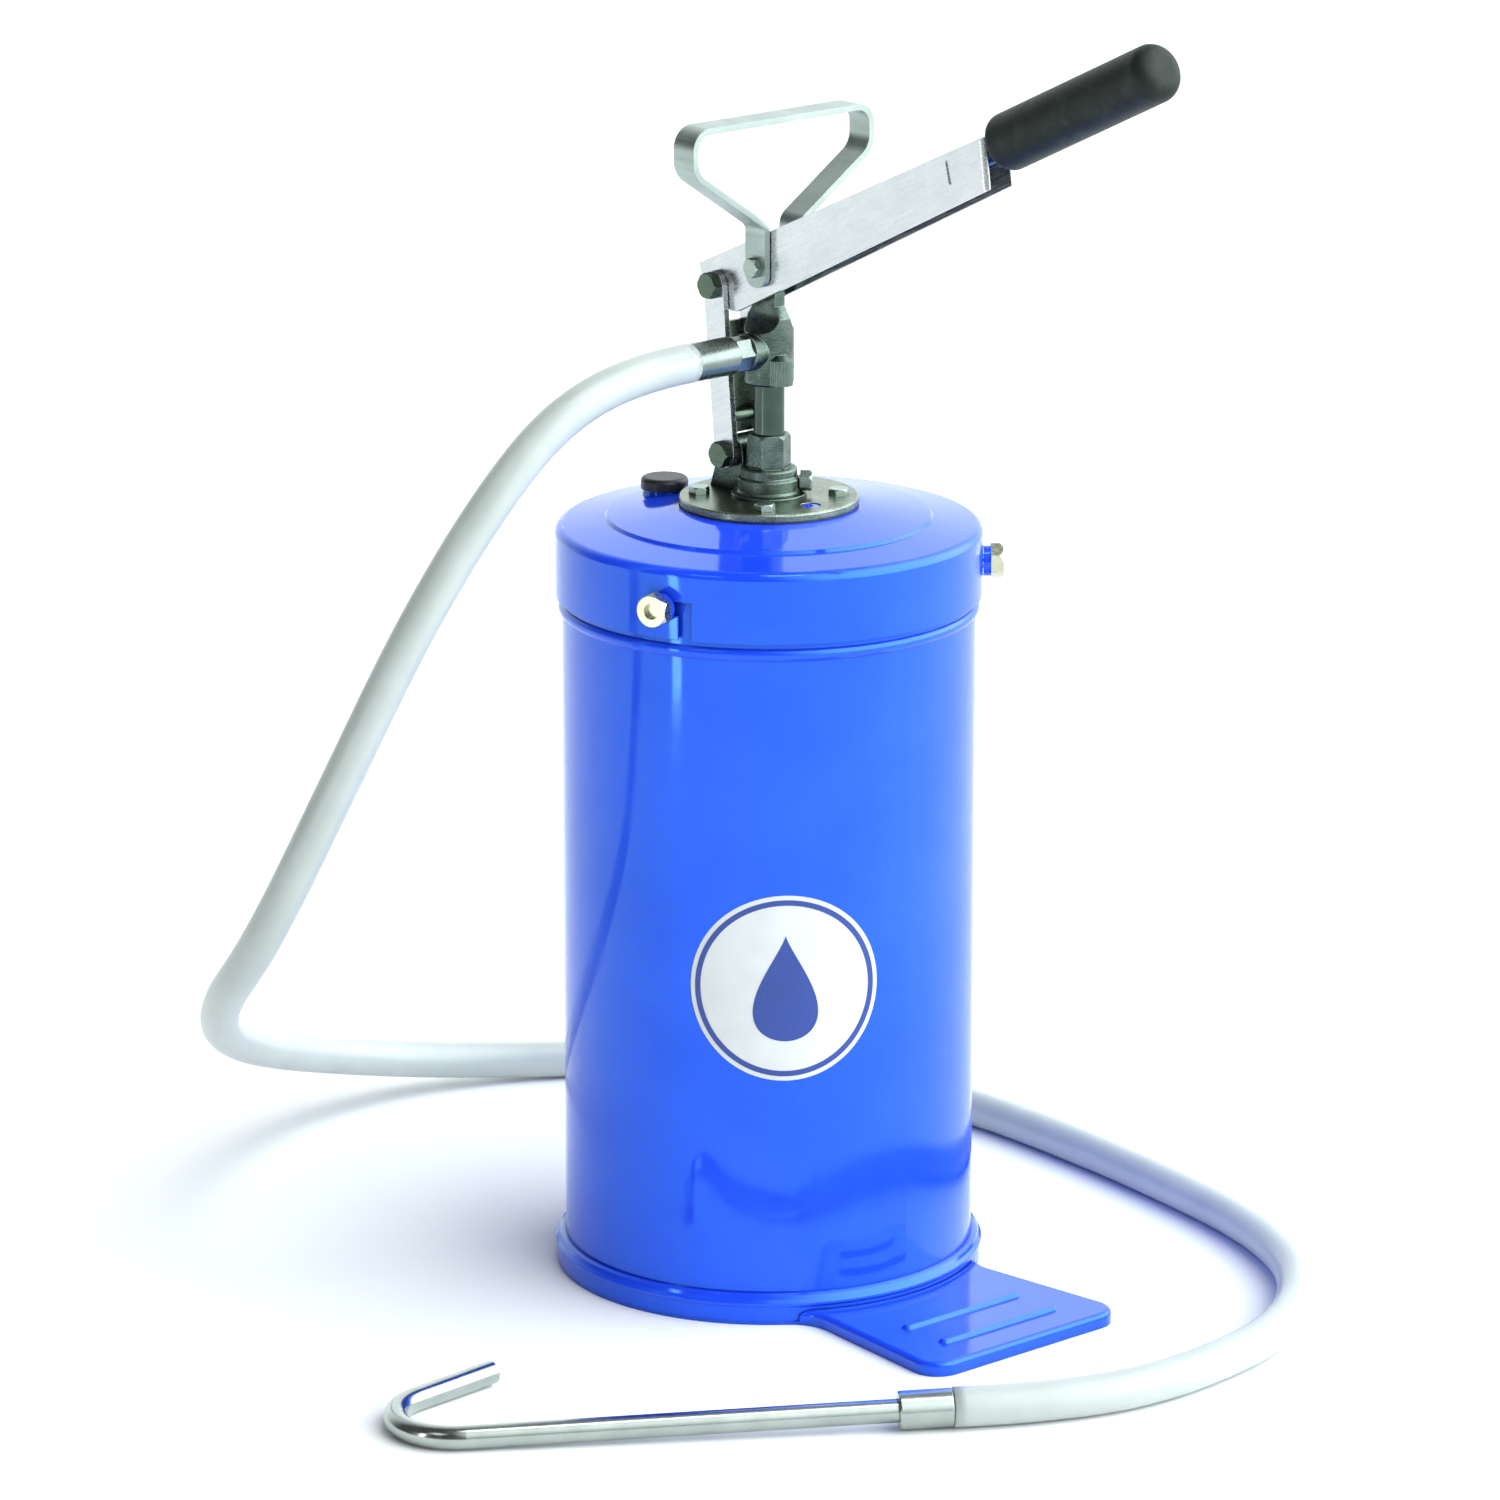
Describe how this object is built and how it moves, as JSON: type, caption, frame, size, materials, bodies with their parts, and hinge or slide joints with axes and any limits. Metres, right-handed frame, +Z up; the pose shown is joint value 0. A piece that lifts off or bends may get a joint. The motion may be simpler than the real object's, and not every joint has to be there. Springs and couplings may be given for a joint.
{
  "type": "hand-lever oil bucket pump",
  "caption": "Steel oil bucket with bayonet lid, foot plate, lever-worked piston pump, folding carrying strap, and a delivery hose with a hooked spout.",
  "frame": {"origin": "centre of the round base on the floor", "axes": "+Z up, +X towards the foot plate and the lever's grip, hose outlet towards -Y"},
  "size_m": [0.6852, 0.5949, 0.721],
  "materials": {
    "blue_paint": "glossy blue enamel",
    "yellow_zinc": "yellow passivated zinc on steel",
    "zinc_fastener": "zinc plated steel",
    "dark_fastener": "dark passivated steel",
    "flange_plate": "turned steel plate, yellowed zinc",
    "bright_zinc": "bright zinc plated sheet steel",
    "cast_iron": "machined and bare casting",
    "ground_steel": "ground steel",
    "barrel_steel": "drawn steel tube",
    "bronze": "turned bronze",
    "chrome_plate": "bright plated steel",
    "grip_rubber": "matt black rubber",
    "seal_rubber": "nitrile rubber",
    "black_plastic": "moulded plastic",
    "hose_pvc": "translucent milky hose"
  },
  "bodies": {
    "root": {"base_ring": "blue_paint", "foot_plate": "blue_paint", "tank_shell": "blue_paint", "tank_bottom": "blue_paint", "lid": "blue_paint", "lid_gasket": "seal_rubber", "lid_bolts": "yellow_zinc", "lid_collars": "blue_paint", "weld_nuts": "zinc_fastener", "filler_neck": "blue_paint", "breather_plug": "blue_paint", "pump_flange": "flange_plate", "flange_gasket": "seal_rubber", "flange_screws": "zinc_fastener", "flange_nuts": "zinc_fastener", "pump_base": "cast_iron", "gland_packing": "seal_rubber", "gland_nut": "cast_iron", "gland_lock_screw": "zinc_fastener", "pump_barrel": "barrel_steel", "foot_valve_body": "barrel_steel", "foot_valve_pin": "ground_steel", "inlet_strainer": "barrel_steel", "link_base_bolt": "dark_fastener", "link_base_nut": "dark_fastener", "link_washers": "zinc_fastener", "hose": "hose_pvc", "spout_ferrule": "chrome_plate", "spout_tube": "chrome_plate"},
    "foot_ball": {"foot_valve_ball": "ground_steel"},
    "filler_plug": {"filler_cap": "black_plastic"},
    "head": {"piston_rod": "ground_steel", "piston": "bronze", "piston_seal": "seal_rubber", "pump_head": "cast_iron", "pivot_bush": "bronze", "hose_nipple": "chrome_plate", "hose_ferrule": "chrome_plate", "pivot_bolt": "zinc_fastener", "pivot_nut": "zinc_fastener"},
    "rod_ball": {"piston_valve_ball": "ground_steel"},
    "strap": {"carry_handle": "bright_zinc"},
    "lever_arm": {"lever": "bright_zinc", "lever_core": "ground_steel", "grip": "grip_rubber"},
    "link": {"link_bar_near": "bright_zinc", "link_bar_far": "bright_zinc", "link_pin": "dark_fastener", "link_web": "dark_fastener", "link_top_bolt": "dark_fastener", "link_top_nut": "dark_fastener"}
  },
  "joints": [
    {"name": "head_slide", "type": "slide", "parent": "root", "child": "head", "axis": [0, 0, 1], "range_m": [-0.0254, 0.0052]},
    {"name": "lever_swing", "type": "hinge", "parent": "head", "child": "lever_arm", "pos_m": [0.0045, 0, 0.564], "axis": [0, -1, 0], "range_deg": [-40, 8]},
    {"name": "link_swing", "type": "hinge", "parent": "root", "child": "link", "pos_m": [-0.021, 0, 0.457], "axis": [0, -1, 0], "range_deg": [-0.5, 2.1]},
    {"name": "strap_swing", "type": "hinge", "parent": "head", "child": "strap", "pos_m": [0.0045, 0, 0.564], "axis": [0, 1, 0], "range_deg": [-60, 35]},
    {"name": "filler_plug_lift", "type": "slide", "parent": "root", "child": "filler_plug", "axis": [0, 0, 1], "range_m": [0, 0.03]},
    {"name": "foot_ball_lift", "type": "slide", "parent": "root", "child": "foot_ball", "axis": [0, 0, 1], "range_m": [0, 0.0028]},
    {"name": "rod_ball_lift", "type": "slide", "parent": "head", "child": "rod_ball", "axis": [0, 0, 1], "range_m": [0, 0.0035]}
  ],
  "couplings": [
    {"joint": "head_slide", "follows": "lever_swing", "m_per_rad": 0.0362},
    {"joint": "link_swing", "follows": "lever_swing", "ratio": -0.05}
  ]
}
